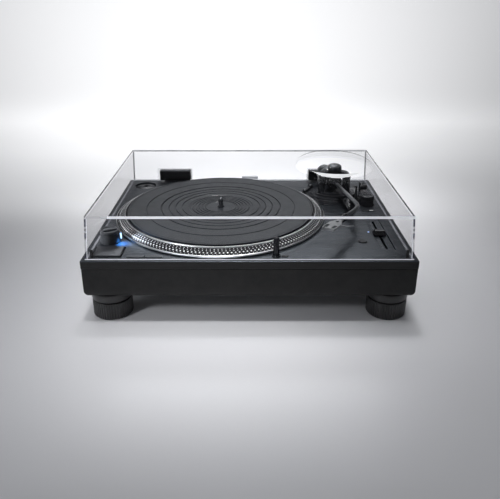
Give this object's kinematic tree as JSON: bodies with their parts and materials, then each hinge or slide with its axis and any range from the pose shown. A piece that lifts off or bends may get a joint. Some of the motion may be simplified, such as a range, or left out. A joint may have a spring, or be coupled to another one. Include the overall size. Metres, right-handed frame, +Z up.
{
  "type": "direct drive turntable",
  "caption": "Direct-drive turntable with S-shaped tonearm, pitch fader, strobe tower, pop-up lamp, screw feet and a hinged clear dust cover.",
  "frame": {"origin": "on the table under the middle of the bounding box", "axes": "+X to the right, +Y to the back, +Z up; the front panel faces -Y"},
  "size_m": [0.4536, 0.352, 0.1725],
  "materials": {
    "deck_metal": "black hairline anodised",
    "plinth_black": "fine textured black",
    "foot_rubber": "ribbed black",
    "black_plastic": "satin black",
    "black_metal": "satin black",
    "arm_metal": "dark plated",
    "shell_silver": "satin silver",
    "platter_alu": "polished, turned",
    "mat_rubber": "matt, grooved",
    "clear_acrylic": "clear, polished",
    "bright_steel": "polished",
    "chromed": "polished",
    "brass_gold": "plated",
    "lit_lens": "clear, lit blue-white",
    "ferrite": "sintered",
    "copper_iron": "wound coils",
    "board_green": "printed board",
    "grey_sheet": "plain grey"
  },
  "bodies": {
    "chassis": {"deck": "deck_metal", "plinth_base": "plinth_black", "bottom_cover": "grey_sheet", "main_board": "board_green", "power_supply": "board_green", "motor_stator": "copper_iron", "motor_bearing": "brass_gold", "strobe_tower": "black_plastic", "strobe_window": "lit_lens", "pitch_panel": "deck_metal", "pitch_lamp": "lit_lens", "arm_base": "black_metal", "hinge_bracket_left": "black_metal", "hinge_bracket_right": "black_metal", "hinge_pin_left": "bright_steel", "hinge_pin_right": "bright_steel", "jack_panel": "grey_sheet", "phono_jack_left": "brass_gold", "phono_jack_right": "brass_gold", "power_inlet": "black_plastic"},
    "platter_rotor": {"platter": "platter_alu", "platter_mat": "mat_rubber", "spindle": "chromed", "motor_magnet_ring": "ferrite"},
    "dust_cover": {"dust_cover": "clear_acrylic", "hinge_leaf_left": "black_plastic", "hinge_leaf_right": "black_plastic", "cushion_front_left": "foot_rubber", "cushion_front_right": "foot_rubber", "cushion_rear": "foot_rubber"},
    "power_knob": {"power_knob": "black_plastic"},
    "start_stop_button": {"start_stop_button": "deck_metal"},
    "speed_button_33": {"speed_button_33": "deck_metal"},
    "speed_button_45": {"speed_button_45": "deck_metal"},
    "lamp_button": {"lamp_button": "black_plastic"},
    "stylus_lamp": {"stylus_lamp": "black_metal"},
    "adapter_45": {"adapter_45": "black_metal"},
    "pitch_slider": {"pitch_slider": "black_plastic"},
    "reset_button": {"reset_button": "black_plastic"},
    "pitch_range_button": {"pitch_range_button": "black_plastic"},
    "height_ring": {"height_ring": "black_metal"},
    "height_lock_lever": {"height_lock_lever": "black_metal"},
    "antiskate_dial": {"antiskate_dial": "black_plastic"},
    "arm_pillar": {"arm_pillar": "black_metal", "arm_rest": "black_plastic"},
    "arm_clip": {"arm_clip": "black_plastic"},
    "cue_lever": {"cue_lever": "black_plastic"},
    "lift_platform": {"lift_platform": "black_plastic"},
    "gimbal_ring": {"gimbal_ring": "black_metal"},
    "arm_tube": {"arm_tube": "arm_metal"},
    "counterweight": {"counterweight": "black_metal"},
    "stylus_force_dial": {"stylus_force_dial": "black_plastic"},
    "headshell_collar": {"headshell_collar": "black_metal"},
    "headshell": {"headshell": "shell_silver", "finger_lift": "chromed"},
    "ground_terminal": {"ground_terminal": "bright_steel"},
    "foot_front_left": {"foot_front_left": "foot_rubber"},
    "foot_front_right": {"foot_front_right": "foot_rubber"},
    "foot_rear_left": {"foot_rear_left": "foot_rubber"},
    "foot_rear_right": {"foot_rear_right": "foot_rubber"}
  },
  "joints": [
    {"name": "platter_spin", "type": "hinge", "parent": "chassis", "child": "platter_rotor", "pos_m": [-0.04594, -0.0026, 0], "axis": [0, 0, 1], "continuous": true},
    {"name": "cover_hinge", "type": "hinge", "parent": "chassis", "child": "dust_cover", "pos_m": [0, 0.1695, 0.1006], "axis": [-1, 0, 0], "range_deg": [0, 60]},
    {"name": "power_knob_turn", "type": "hinge", "parent": "chassis", "child": "power_knob", "pos_m": [-0.1997, -0.11, 0], "axis": [0, 0, -1], "range_deg": [0, 45]},
    {"name": "start_stop_press", "type": "slide", "parent": "chassis", "child": "start_stop_button", "axis": [0, 0, -1], "range_m": [0, 0.0015], "stiffness_N_per_m": 400, "springref_m": -0.002},
    {"name": "speed_33_press", "type": "slide", "parent": "chassis", "child": "speed_button_33", "axis": [0, 0, -1], "range_m": [0, 0.001], "stiffness_N_per_m": 400, "springref_m": -0.002},
    {"name": "speed_45_press", "type": "slide", "parent": "chassis", "child": "speed_button_45", "axis": [0, 0, -1], "range_m": [0, 0.001], "stiffness_N_per_m": 400, "springref_m": -0.002},
    {"name": "lamp_button_press", "type": "slide", "parent": "chassis", "child": "lamp_button", "axis": [0, 0, -1], "range_m": [0, 0.0008], "stiffness_N_per_m": 400, "springref_m": -0.002},
    {"name": "reset_press", "type": "slide", "parent": "chassis", "child": "reset_button", "axis": [0, 0, -1], "range_m": [0, 0.0008], "stiffness_N_per_m": 400, "springref_m": -0.002},
    {"name": "pitch_range_press", "type": "slide", "parent": "chassis", "child": "pitch_range_button", "axis": [0, 0, -1], "range_m": [0, 0.0008], "stiffness_N_per_m": 400, "springref_m": -0.002},
    {"name": "stylus_lamp_pop", "type": "slide", "parent": "chassis", "child": "stylus_lamp", "axis": [0, 0, -1], "range_m": [0, 0.0263], "stiffness_N_per_m": 40, "springref_m": -0.02},
    {"name": "adapter_lift_out", "type": "slide", "parent": "chassis", "child": "adapter_45", "axis": [0, 0, 1], "range_m": [0, 0.02]},
    {"name": "pitch_slide", "type": "slide", "parent": "chassis", "child": "pitch_slider", "axis": [0, 1, 0], "range_m": [-0.042, 0.042]},
    {"name": "pillar_lift", "type": "slide", "parent": "chassis", "child": "arm_pillar", "axis": [0, 0, 1], "range_m": [0, 0.006]},
    {"name": "height_ring_turn", "type": "hinge", "parent": "chassis", "child": "height_ring", "pos_m": [0.1472, 0.086, 0], "axis": [0, 0, 1], "range_deg": [0, 60]},
    {"name": "height_lock", "type": "hinge", "parent": "chassis", "child": "height_lock_lever", "pos_m": [0.099, 0.1, 0], "axis": [0, 0, 1], "range_deg": [0, 30]},
    {"name": "antiskate_turn", "type": "hinge", "parent": "chassis", "child": "antiskate_dial", "pos_m": [0.197, 0.038, 0], "axis": [0, 0, 1], "range_deg": [0, 300]},
    {"name": "arm_clip_turn", "type": "hinge", "parent": "arm_pillar", "child": "arm_clip", "pos_m": [0.1681, -0.01, 0.1322], "axis": [0, -1, 0], "range_deg": [0, 80]},
    {"name": "cue_lever_turn", "type": "hinge", "parent": "arm_pillar", "child": "cue_lever", "pos_m": [0.1952, 0.081, 0.1152], "axis": [-1, 0, 0], "range_deg": [0, 60]},
    {"name": "arm_lift", "type": "slide", "parent": "arm_pillar", "child": "lift_platform", "axis": [0, 0, 1], "range_m": [0, 0.006]},
    {"name": "arm_swing", "type": "hinge", "parent": "arm_pillar", "child": "gimbal_ring", "pos_m": [0.1472, 0.086, 0.12], "axis": [0, 0, -1], "range_deg": [0, 41]},
    {"name": "arm_tilt", "type": "hinge", "parent": "gimbal_ring", "child": "arm_tube", "pos_m": [0.1472, 0.086, 0.12], "axis": [-0.988, -0.1547, 0], "range_deg": [0, 2.5]},
    {"name": "counterweight_turn", "type": "hinge", "parent": "arm_tube", "child": "counterweight", "pos_m": [0.1472, 0.086, 0.12], "axis": [0.1546, -0.9875, 0.0314], "range_deg": [-180, 180]},
    {"name": "stylus_force_turn", "type": "hinge", "parent": "arm_tube", "child": "stylus_force_dial", "pos_m": [0.1472, 0.086, 0.12], "axis": [0.1546, -0.9875, 0.0314], "range_deg": [-180, 180]},
    {"name": "collar_turn", "type": "hinge", "parent": "arm_tube", "child": "headshell_collar", "pos_m": [0.13119, -0.10321, 0.1258], "axis": [-0.5491, -0.8354, 0.0233], "range_deg": [0, 60]},
    {"name": "headshell_pull", "type": "slide", "parent": "arm_tube", "child": "headshell", "axis": [-0.5491, -0.8354, 0.0233], "range_m": [0, 0.008]},
    {"name": "ground_terminal_turn", "type": "hinge", "parent": "chassis", "child": "ground_terminal", "pos_m": [-0.112, -0.176, 0.06], "axis": [0, 1, 0], "range_deg": [-180, 180]},
    {"name": "foot_front_left_turn", "type": "hinge", "parent": "chassis", "child": "foot_front_left", "pos_m": [-0.1959, -0.1428, 0], "axis": [0, 0, 1], "range_deg": [-180, 180]},
    {"name": "foot_front_right_turn", "type": "hinge", "parent": "chassis", "child": "foot_front_right", "pos_m": [0.1959, -0.1428, 0], "axis": [0, 0, 1], "range_deg": [-180, 180]},
    {"name": "foot_rear_left_turn", "type": "hinge", "parent": "chassis", "child": "foot_rear_left", "pos_m": [-0.1959, 0.1385, 0], "axis": [0, 0, 1], "range_deg": [-180, 180]},
    {"name": "foot_rear_right_turn", "type": "hinge", "parent": "chassis", "child": "foot_rear_right", "pos_m": [0.1959, 0.1385, 0], "axis": [0, 0, 1], "range_deg": [-180, 180]}
  ],
  "couplings": [
    {"joint": "height_ring_turn", "follows": "pillar_lift", "rad_per_m": 174.52},
    {"joint": "arm_lift", "follows": "cue_lever_turn", "m_per_rad": 0.005729}
  ]
}
